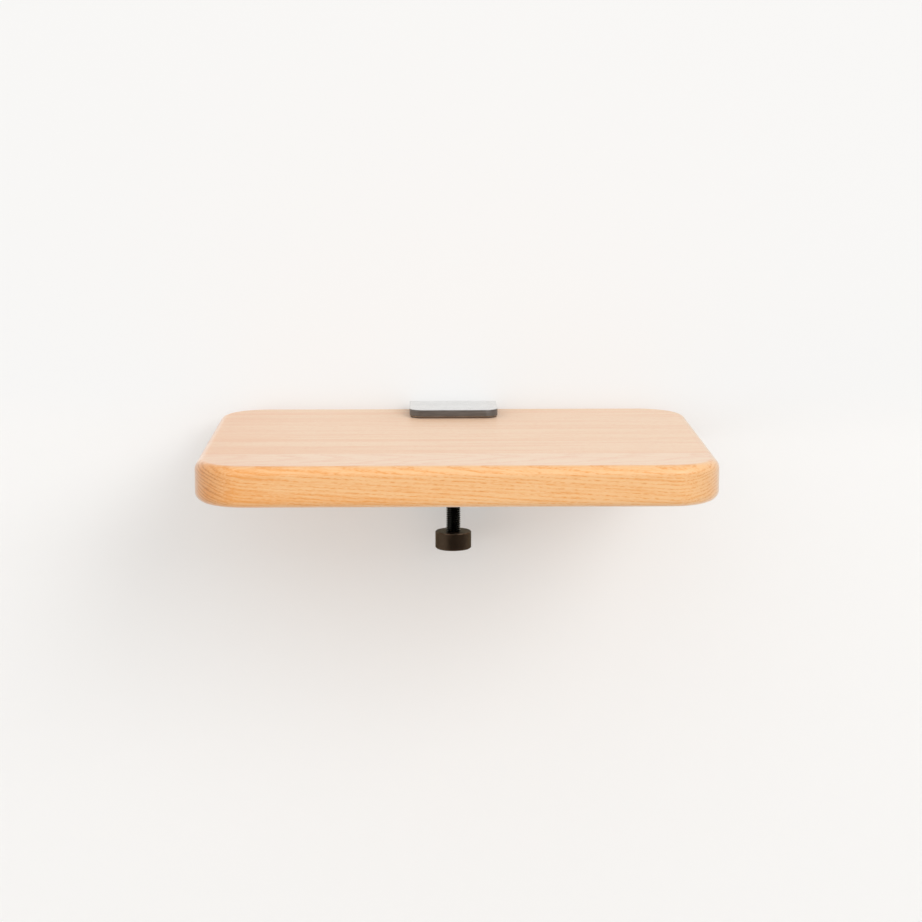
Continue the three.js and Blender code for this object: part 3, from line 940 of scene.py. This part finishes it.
def bend_tree():
    """Bends a flat bar into a C. Across is X, the length of the bar is Y and its thickness is Z."""
    tree, graph, given = geometry_tree("Bend Bar", {
        "Thickness": "Float",
        "Inside Radius": "Float",
        "Half Web": "Float",
        "Material": "Material",
    })
    flat = graph.add("GeometryNodeInputPosition").outputs[0]
    kept = graph.add(
        "GeometryNodeStoreNamedAttribute",
        {"Geometry": given["Geometry"], "Name": "bar_place", "Value": flat},
        data_type="FLOAT_VECTOR",
        domain="POINT",
    )
    facing = graph.math("ABSOLUTE", graph.split(graph.add("GeometryNodeInputNormal").outputs[0])[2])
    kept = graph.add(
        "GeometryNodeStoreNamedAttribute",
        {"Geometry": kept.outputs[0], "Name": "bar_facing", "Value": facing},
        data_type="FLOAT",
        domain="POINT",
    )
    across, along, thick = graph.split(flat)[:3]
    outside = graph.math("ADD", given["Inside Radius"], given["Thickness"])
    middle = graph.math("MULTIPLY_ADD", given["Thickness"], 0.5, given["Inside Radius"])
    length = graph.math("ABSOLUTE", along)
    beyond = graph.math("MAXIMUM", graph.math("SUBTRACT", length, given["Half Web"]), 0)
    angle = graph.math("MINIMUM", graph.math("DIVIDE", beyond, middle), math.pi / 2)
    run = graph.math("SUBTRACT", beyond, graph.math("MULTIPLY", angle, middle))
    radius = graph.math("SUBTRACT", outside, thick)
    up = graph.math("MINIMUM", length, given["Half Web"])
    up = graph.math("ADD", up, graph.math("MULTIPLY", radius, graph.math("SINE", angle)))
    out = graph.math("SUBTRACT", graph.math("MULTIPLY", radius, graph.math("COSINE", angle)), outside)
    out = graph.math("SUBTRACT", out, run)
    height = graph.math("MULTIPLY", up, graph.math("SIGN", along))
    bent = graph.add(
        "GeometryNodeSetPosition",
        {"Geometry": kept.outputs[0], "Position": graph.combine(across, out, height)},
    )
    close_tree(graph, bent.outputs[0], given["Material"])
    return tree


def wire_tree():
    """Open ring of round wire with closed ends."""
    tree, graph, given = geometry_tree("Snap Ring", {
        "Ring Radius": "Float",
        "Wire Radius": "Float",
        "Gap": "Float",
        "Centre": "Vector",
        "Material": "Material",
    })
    sweep = graph.math("SUBTRACT", 2 * math.pi, given["Gap"])
    arc = graph.add("GeometryNodeCurveArc", {
        "Resolution": 72,
        "Radius": given["Ring Radius"],
        "Start Angle": graph.math("MULTIPLY", given["Gap"], 0.5),
        "Sweep Angle": sweep,
    })
    section = graph.add("GeometryNodeCurvePrimitiveCircle", {
        "Resolution": 16,
        "Radius": given["Wire Radius"],
    })
    wire = graph.add("GeometryNodeCurveToMesh", {
        "Curve": arc.outputs[0],
        "Profile Curve": section.outputs[0],
        "Fill Caps": True,
    })
    placed = graph.add("GeometryNodeTransform", {
        "Geometry": wire.outputs[0],
        "Translation": given["Centre"],
    })
    close_tree(graph, placed.outputs[0], given["Material"])
    return tree


def stave_names():
    return sorted(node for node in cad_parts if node.startswith("board_stave_"))


def stave_wood(index, y_middle, z_middle):
    """Where the pith of a plank's log lies, and the plank's lustre and polish. The front plank is sawn
    flat, the others nearer the radius."""
    logs = (
        (95, -34, 0.012, -0.02, 2.6, -0.42, 0.6, 0.8, 0.2),
        (-88, -52, -0.016, 0.012, 2.9, -0.38, 0.6, 0.8, 0.2),
        (80, 60, 0.02, 0.01, 2.4, -0.46, 0.6, 0.8, 0.2),
        (-104, 30, 0.0, 0.02, 2.7, -0.42, 0.6, 0.85, 0.22),
        (10, -66, 0.02, -0.058, 2.1, -0.28, 0.2, 1.0, 0.34),
    )
    across, up, lean_across, lean_up, ring, tone, bands, lustre, polish = logs[index % len(logs)]
    log = {
        "Pith Across": y_middle + across * MM,
        "Pith Up": z_middle + up * MM,
        "Lean Across": lean_across,
        "Lean Up": lean_up,
        "Ring Width": ring * MM,
        "Tone": tone,
        "Bands": bands,
        "Seed": 3.7 * index,
    }
    return log, lustre, polish


class SHELF_OT_board(bpy.types.Operator):
    """Make the oak board from planks glued edge to edge"""

    bl_idname = "shelf.board"
    bl_label = "Board"

    def execute(self, context):
        settings = context.scene.shelf_board
        boxes = {name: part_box(name) for name in stave_names()}
        low = Vector(map(min, *(box[0] for box in boxes.values())))
        high = Vector(map(max, *(box[1] for box in boxes.values())))
        board = rounded_slab(
            low,
            high,
            settings.corner_radius,
            settings.corner_radius,
            settings.edge_radius,
            settings.corner_steps,
            settings.edge_steps,
        )
        board.normal_update()
        end_face = board.verts.layers.float.new("end_face")
        # The left end takes the full darkening, end grain soak with painted shade; the right end takes its
        # share.
        for vertex in board.verts:
            vertex[end_face] = max(-vertex.normal.x, settings.right_end_soak * vertex.normal.x)
        figure = oak_figure(settings)
        for index, (name, (near, far)) in enumerate(boxes.items()):
            plank = board.copy()
            if far.y < high.y - WELD:
                cut_at(plank, far.y, keep_near=True)
            if near.y > low.y + WELD:
                cut_at(plank, near.y, keep_far=True)
            log, lustre, polish = stave_wood(index, (near.y + far.y) / 2, (low.z + high.z) / 2)
            wood = oak(f"Oak Plank {index + 1}", figure, log, lustre, polish)
            finish_piece(f"oak_{name}", plank, wood, "board", "oak", name)
        board.free()
        return {"FINISHED"}


class SHELF_OT_bracket(bpy.types.Operator):
    """Cut, drill and bend the clamp's flat bar"""

    bl_idname = "shelf.bracket"
    bl_label = "Clamp Bracket"

    def execute(self, context):
        settings = context.scene.shelf_bracket
        low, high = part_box("clamp_bracket")
        thickness, inside = settings.bar_thickness, settings.bend_radius
        half_web = high.z - thickness - inside
        bend = (inside + thickness / 2) * math.pi / 2
        jaw = high.y - low.y - thickness - inside
        half_length = half_web + bend + jaw
        blank = rounded_slab(
            Vector((low.x, -half_length, 0)),
            Vector((high.x, half_length, thickness)),
            settings.corner_radius,
            settings.corner_radius,
            settings.edge_radius,
            settings.corner_steps,
            settings.edge_steps,
        )
        blank = carved(blank, self.drills(settings, half_web + bend))
        for end in (-1, 1):
            for step in range(settings.bend_steps + 1):
                cut_at(blank, end * (half_web + bend * step / settings.bend_steps))
        steel = bar_steel(settings)
        bent = run_tree(
            bend_tree(),
            {"Thickness": thickness, "Inside Radius": inside, "Half Web": half_web, "Material": steel},
            blank,
        )
        finish_piece("bent_bracket", bent, steel, "clamp", "bracket_steel", "clamp_bracket")
        return {"FINISHED"}

    def drills(self, settings, jaw_start):
        """Cutters for the countersunk wall holes and for the bush's hole, in the flat bar."""
        cutters = bmesh.new()
        thickness = settings.bar_thickness
        sink = settings.head_radius - settings.hole_radius
        for x in (-settings.hole_across, settings.hole_across):
            for y in (-settings.hole_up, settings.hole_up):
                add_turned(cutters, (
                    (0, -MM),
                    (settings.hole_radius, -MM),
                    (settings.hole_radius, thickness - sink),
                    (settings.head_radius, thickness),
                    (settings.head_radius, thickness + MM),
                    (0, thickness + MM),
                ), HOLE_SIDES, Vector((x, y, 0)))
        axis = screw_axis()
        screw = bpy.context.scene.shelf_screw
        corner = settings.bar_thickness + settings.bend_radius
        along = jaw_start - axis.y - corner
        seat = screw.bush_spigot + screw.bush_gap
        add_turned(
            cutters,
            ((0, -MM), (seat, -MM), (seat, thickness + MM), (0, thickness + MM)),
            BUSH_HOLE_SIDES,
            Vector((axis.x, -along, 0)),
        )
        bmesh.ops.recalc_face_normals(cutters, faces=cutters.faces)
        return cutters


class SHELF_OT_liner(bpy.types.Operator):
    """Lay the felt liner under the upper jaw"""

    bl_idname = "shelf.liner"
    bl_label = "Jaw Liner"

    def execute(self, context):
        settings = context.scene.shelf_bracket
        low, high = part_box("jaw_liner")
        front_radius = settings.corner_radius - 0.5 * MM
        back_radius, edge_radius = 0.4 * MM, 0.15 * MM
        sheet = rounded_slab(low, high, front_radius, back_radius, edge_radius, corner_steps=10, edge_steps=2)
        finish_piece("felt_liner", sheet, felt(settings), "clamp", "liner_felt", "jaw_liner")
        return {"FINISHED"}


class SHELF_OT_bush(bpy.types.Operator):
    """Turn the threaded bush of the lower jaw"""

    bl_idname = "shelf.bush"
    bl_label = "Threaded Bush"

    def execute(self, context):
        settings = context.scene.shelf_screw
        low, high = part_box("threaded_bush")
        collar = (high.x - low.x) / 2
        seat = high.z - settings.bush_collar
        mouth = settings.bush_bore + settings.bush_chamfer
        bush = add_turned(bmesh.new(), (
            (settings.bush_bore, low.z + settings.bush_chamfer),
            (mouth, low.z),
            (settings.bush_spigot, low.z, 0.2 * MM),
            (settings.bush_spigot, seat),
            (collar, seat, 0.2 * MM),
            (collar, high.z, 0.8 * MM),
            (mouth, high.z),
            (settings.bush_bore, high.z - settings.bush_chamfer),
        ), TURNED_SIDES, closed=True)
        finish_piece("turned_bush", bush, black_oxide(settings), "clamp", "screw_steel", "threaded_bush")
        return {"FINISHED"}


def black_oxide(settings):
    return bpy.data.materials.get("Black Oxide") or turned_steel(
        "Black Oxide", settings.black, (0.7, 0.7, 0.66), 0.27, 0.002 * MM
    )


class SHELF_OT_screw(bpy.types.Operator):
    """Cut the clamp screw's thread and turn its pivot"""

    bl_idname = "shelf.screw"
    bl_label = "Clamp Screw"

    def execute(self, context):
        settings = context.scene.shelf_screw
        low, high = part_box("clamp_screw")
        radius = (high.x - low.x) / 2
        shoulder = high.z - settings.pivot_length
        black = black_oxide(settings)
        screw = run_tree(thread_tree(), {
            "Radius": radius,
            "Pitch": settings.pitch,
            "Bottom": low.z,
            "Length": shoulder - low.z,
            "Chamfer": settings.chamfer,
            "Sides": settings.sides,
            "Rows per Pitch": settings.rows_per_pitch,
            "Centre": screw_axis(),
            "Material": black,
        })
        end = radius - settings.chamfer
        pivot = settings.pivot_radius
        ring_low, ring_high = self.groove()
        add_turned(screw, ((0, low.z), (end, low.z)), settings.sides)
        add_turned(screw, (
            (end, shoulder),
            (pivot, shoulder),
            (pivot, ring_low),
            (settings.neck_radius, ring_low),
            (settings.neck_radius, ring_high),
            (pivot, ring_high),
            (pivot, high.z - settings.pivot_dome, 0.6 * MM),
            (pivot * 0.45, high.z, 0.8 * MM),
            (0, high.z),
        ), settings.sides)
        finish_piece("threaded_screw", screw, black, "screw", "screw_steel", "clamp_screw")
        return {"FINISHED"}

    def groove(self):
        pad = bpy.context.scene.shelf_pad
        low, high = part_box("pad_snap_ring")
        return low.z - pad.running_gap, high.z + pad.running_gap


class SHELF_OT_knob(bpy.types.Operator):
    """Turn the knob, drill it and put its grub screw in"""

    bl_idname = "shelf.knob"
    bl_label = "Knob"

    def execute(self, context):
        settings = context.scene.shelf_knob
        low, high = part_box("knob")
        radius = (high.x - low.x) / 2
        axis = screw_axis()
        body = add_turned(bmesh.new(), (
            (0, low.z),
            (radius - settings.bottom_chamfer, low.z),
            (radius, low.z + settings.bottom_chamfer),
            (radius, high.z - settings.top_chamfer),
            (radius - settings.top_chamfer, high.z),
            (settings.bore, high.z, 0.3 * MM),
            (settings.bore, low.z + settings.floor),
            (0, low.z + settings.floor),
        ), KNOB_SIDES)
        bmesh.ops.recalc_face_normals(body, faces=body.faces)
        grub_low, grub_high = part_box("knob_grub_screw")
        height = (grub_low.z + grub_high.z) / 2
        lying = Matrix.Translation((axis.x, axis.y, height)) @ Matrix.Rotation(-math.pi / 2, 4, "X")
        reach = radius + MM
        drill = add_turned(bmesh.new(), (
            (0, 0),
            (settings.grub_hole, 0),
            (settings.grub_hole, reach),
            (0, reach),
        ), GRUB_SIDES, Vector((0, 0, 0)))
        bmesh.ops.recalc_face_normals(drill, faces=drill.faces)
        drill.transform(lying)
        # The top and bottom rims get lighter patches, partly wear and partly a painted highlight.
        worn_and_highlit_rims = ((radius, high.z), (radius, low.z))
        brown = turned_steel("Browned Steel", settings.brown, (0.7, 0.68, 0.6), 0.42, 0.004 * MM, worn_and_highlit_rims)
        finish_piece("turned_knob", carved(body, drill), brown, "screw", "knob_steel", "knob")
        self.grub_screw(context, settings, lying)
        return {"FINISHED"}

    def grub_screw(self, context, settings, lying):
        """The grub screw in its hole, turned and drilled upright and then laid down."""
        low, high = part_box("knob_grub_screw")
        axis = screw_axis()
        radius = (high.x - low.x) / 2
        point, back = low.y - axis.y, high.y - axis.y
        grub = add_turned(bmesh.new(), (
            (0, point),
            (radius - MM, point),
            (radius, point + MM),
            (radius, back, 0.2 * MM),
            (0, back),
        ), GRUB_SIDES, Vector((0, 0, 0)))
        bmesh.ops.recalc_face_normals(grub, faces=grub.faces)
        corner = settings.socket_across / math.sqrt(3)
        socket = add_turned(bmesh.new(), (
            (0, back - settings.socket_depth - 0.4 * MM),
            (corner, back - settings.socket_depth),
            (corner, back + MM),
            (0, back + MM),
        ), 6, Vector((0, 0, 0)))
        bmesh.ops.recalc_face_normals(socket, faces=socket.faces)
        grub = carved(grub, socket)
        grub.transform(lying)
        black = black_oxide(context.scene.shelf_screw)
        finish_piece("grub_screw", grub, black, "screw", "screw_steel", "knob_grub_screw")


class SHELF_OT_pad(bpy.types.Operator):
    """Turn the swivel pad and put its snap ring and its soft cap on"""

    bl_idname = "shelf.pad"
    bl_label = "Swivel Pad"

    def execute(self, context):
        settings = context.scene.shelf_pad
        axis = screw_axis()
        low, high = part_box("swivel_pad")
        ring_low, ring_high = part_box("pad_snap_ring")
        groove_low = ring_low.z - settings.running_gap
        groove_high = ring_high.z + settings.running_gap
        ring_reach = (ring_high.y - ring_low.y) / 2
        groove_radius = ring_reach + settings.running_gap
        radius = (high.x - low.x) / 2
        pad = add_turned(bmesh.new(), (
            (0, high.z - settings.ceiling),
            (settings.bore, high.z - settings.ceiling),
            (settings.bore, groove_high),
            (groove_radius, groove_high),
            (groove_radius, groove_low),
            (settings.bore, groove_low),
            (settings.bore, low.z, 0.3 * MM),
            (radius, low.z, 0.8 * MM),
            (radius, high.z, 0.2 * MM),
            (0, high.z),
        ), TURNED_SIDES)
        bright = turned_steel("Turned Steel", settings.turned_steel, (0.9, 0.88, 0.85), 0.3, 0.003 * MM)
        finish_piece("turned_pad", pad, bright, "pad", "pad_steel", "swivel_pad")

        spring = turned_steel("Spring Wire", settings.wire, (0.95, 0.95, 0.94), 0.25, 0.001 * MM)
        height = (ring_low.z + ring_high.z) / 2
        ring = run_tree(wire_tree(), {
            "Ring Radius": ring_reach - settings.wire_radius,
            "Wire Radius": settings.wire_radius,
            "Gap": settings.ring_gap,
            "Centre": (axis.x, axis.y, height),
            "Material": spring,
        })
        finish_piece("wire_snap_ring", ring, spring, "pad", "spring_wire", "pad_snap_ring")

        low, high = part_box("pad_cap")
        outer = (high.x - low.x) / 2
        inner = outer - settings.cap_wall
        ceiling = high.z - settings.cap_face
        cap = add_turned(bmesh.new(), (
            (0, ceiling),
            (inner, ceiling, 0.15 * MM),
            (inner, low.z, 0.3 * MM),
            (outer, low.z, 0.5 * MM),
            (outer, high.z, 0.9 * MM),
            (0, high.z),
        ), TURNED_SIDES)
        finish_piece("soft_cap", cap, rubber(settings), "pad", "cap_rubber", "pad_cap")
        return {"FINISHED"}


def stage_plane(name, corners, material):
    mesh = bpy.data.meshes.new(name)
    mesh.from_pydata(corners, [], [(0, 1, 2, 3)])
    mesh.materials.append(material)
    plane = link(bpy.data.objects.new(name, mesh))
    return plane


def soft_lamp(name, place, target, size, power, colour=(1, 1, 1)):
    """A rectangular soft box that faces a point."""
    lamp = bpy.data.lights.new(name, "AREA")
    lamp.shape = "RECTANGLE"
    lamp.size, lamp.size_y = size
    lamp.energy = power
    lamp.color = colour
    box = link(bpy.data.objects.new(name, lamp))
    box.location = place
    box.rotation_euler = (Vector(target) - Vector(place)).to_track_quat("-Z", "Y").to_euler()
    return box


class SHELF_OT_stage(bpy.types.Operator):
    """Set up the wall, the floor, the light and the camera"""

    bl_idname = "shelf.stage"
    bl_label = "Stage"

    def execute(self, context):
        settings = context.scene.shelf_stage
        context.scene.view_settings.view_transform = "Standard"
        self.room(settings)
        self.light_room(context.scene, settings)
        self.camera(context.scene, settings)
        return {"FINISHED"}

    def room(self, settings):
        """The wall shows from its front alone, so that the shelf can be looked at from behind."""
        side, top, ground, front = 3.0, 2.6, -1.3, -4.0
        paint, graph, surface = shader("Wall Paint")
        surface.inputs["Base Color"].default_value = opaque(settings.wall)
        surface.inputs["Roughness"].default_value = 0.9
        surface.inputs["Specular IOR Level"].default_value = 0.2
        height = graph.split(object_place(graph))[2]
        share = graph.ramp(height, 0.0, 0.045, 0.14, 0.75)
        lit = self.lit_to_the_eye(graph, surface, settings.wall, share)
        back = graph.add("ShaderNodeNewGeometry").outputs["Backfacing"]
        clear = graph.add("ShaderNodeBsdfTransparent").outputs[0]
        self.show(graph, graph.add("ShaderNodeMixShader", {0: back, 1: lit, 2: clear}).outputs[0])
        behind = 0.3 * MM
        wall = stage_plane("wall", (
            (-side, behind, ground), (side, behind, ground), (side, behind, top), (-side, behind, top),
        ), paint)
        wall.visible_diffuse = False
        wall.visible_shadow = False

        paint, graph, surface = shader("Floor Paint")
        surface.inputs["Base Color"].default_value = opaque(settings.floor_paint)
        surface.inputs["Roughness"].default_value = 0.9
        surface.inputs["Specular IOR Level"].default_value = 0.2
        self.show(graph, self.lit_to_the_eye(graph, surface, settings.floor, 0.6))
        stage_plane("floor", (
            (-side, front, ground), (side, front, ground), (side, -front, ground), (-side, -front, ground),
        ), paint)

        card, graph, surface = shader("Dark Card")
        surface.inputs["Base Color"].default_value = opaque(settings.dark_card)
        surface.inputs["Roughness"].default_value = 1.0
        card_foot, card_top = ground + MM, 0.4
        turns = ((-1.9, -2.4), (2.9, -2.4), (2.9, -0.02))
        for number, (near, far) in enumerate(zip(turns, turns[1:])):
            dark = stage_plane(f"dark_card_{number + 1}", (
                (*near, card_foot), (*near, card_top), (*far, card_top), (*far, card_foot),
            ), card)
            dark.visible_camera = False
            dark.visible_diffuse = False
            dark.visible_shadow = False

    def lit_to_the_eye(self, graph, surface, colour, share):
        """Part of what is seen of a pale surface is its own colour. The rest keeps the shadows."""
        seen = graph.math("MULTIPLY", seen_directly(graph), share)
        plain = graph.add("ShaderNodeEmission", {"Color": opaque(colour), "Strength": 1.0}).outputs[0]
        return graph.add("ShaderNodeMixShader", {0: seen, 1: surface.outputs[0], 2: plain}).outputs[0]

    def show(self, graph, shading):
        output = next(node for node in graph.tree.nodes if node.type == "OUTPUT_MATERIAL")
        graph.fill(output.inputs["Surface"], shading)

    def light_room(self, scene, settings):
        world = bpy.data.worlds.new("Room")
        world.use_nodes = True
        world.node_tree.nodes.clear()
        graph = Graph(world.node_tree)
        pale = graph.add("ShaderNodeBackground", {"Color": opaque(settings.wall), "Strength": 1.0})
        _, back, up = graph.split(graph.add("ShaderNodeTexCoord").outputs["Generated"])[:3]
        strength = graph.ramp(up, -0.5, 0.5, settings.room_light * 0.8, settings.room_light)
        strength = graph.math("MULTIPLY", strength, graph.ramp(back, -1.0, 1.0, 1.1, 0.78, smooth=False))
        warmth = graph.blend(graph.ramp(up, -0.5, 0.3), opaque(settings.low_light), (1, 1, 1, 1))
        light = graph.add("ShaderNodeBackground", {"Color": warmth, "Strength": strength})
        shares = {0: seen_directly(graph), 1: light.outputs[0], 2: pale.outputs[0]}
        both = graph.add("ShaderNodeMixShader", shares)
        graph.add("ShaderNodeOutputWorld", {"Surface": both.outputs[0]})
        scene.world = world
        target = settings.lit_point
        soft_lamp("key", settings.key_place, target, (2.5, 2.5), settings.key_power)
        fill = soft_lamp("fill", settings.fill_place, target, (2.0, 1.2), settings.fill_power)
        fill.visible_glossy = False
        jaw_edge = (0, -0.05, 0.03)
        strip = soft_lamp("strip", settings.strip_place, jaw_edge, (0.12, 1.2), settings.strip_power)
        strip.visible_diffuse = False

    def camera(self, scene, settings):
        lens = bpy.data.cameras.new("Camera")
        lens.lens = settings.lens
        lens.sensor_width = 36
        lens.clip_start = 0.05
        lens.clip_end = 50
        camera = link(bpy.data.objects.new("Camera", lens))
        camera.location = settings.camera_place
        camera.rotation_euler = (math.pi / 2 - settings.camera_pitch, 0, -settings.camera_yaw)
        scene.camera = camera


class SHELF_PT_parts(bpy.types.Panel):
    """Lists the shelf's pieces"""

    bl_label = "Wall Shelf"
    bl_space_type = "VIEW_3D"
    bl_region_type = "UI"
    bl_category = "Wall Shelf"

    def draw(self, context):
        layout = self.layout
        for operator in OPERATORS:
            layout.operator(operator.bl_idname)
        for name, group in SETTINGS.items():
            box = layout.box()
            box.label(text=group.__doc__)
            for prop in group.__annotations__:
                box.prop(getattr(context.scene, name), prop)


OPERATORS = (
    SHELF_OT_stage,
    SHELF_OT_board,
    SHELF_OT_bracket,
    SHELF_OT_liner,
    SHELF_OT_bush,
    SHELF_OT_screw,
    SHELF_OT_knob,
    SHELF_OT_pad,
)


def register():
    for name, group in SETTINGS.items():
        bpy.utils.register_class(group)
        setattr(bpy.types.Scene, name, PointerProperty(type=group))
    for operator in OPERATORS:
        bpy.utils.register_class(operator)
    bpy.utils.register_class(SHELF_PT_parts)


def unregister():
    bpy.utils.unregister_class(SHELF_PT_parts)
    for operator in reversed(OPERATORS):
        bpy.utils.unregister_class(operator)
    for name, group in reversed(SETTINGS.items()):
        delattr(bpy.types.Scene, name)
        bpy.utils.unregister_class(group)


def main():
    register()
    bpy.ops.shelf.stage()
    bpy.ops.shelf.board()
    bpy.ops.shelf.bracket()
    bpy.ops.shelf.liner()
    bpy.ops.shelf.bush()
    bpy.ops.shelf.screw()
    bpy.ops.shelf.knob()
    bpy.ops.shelf.pad()


if __name__ == "__main__":
    main()
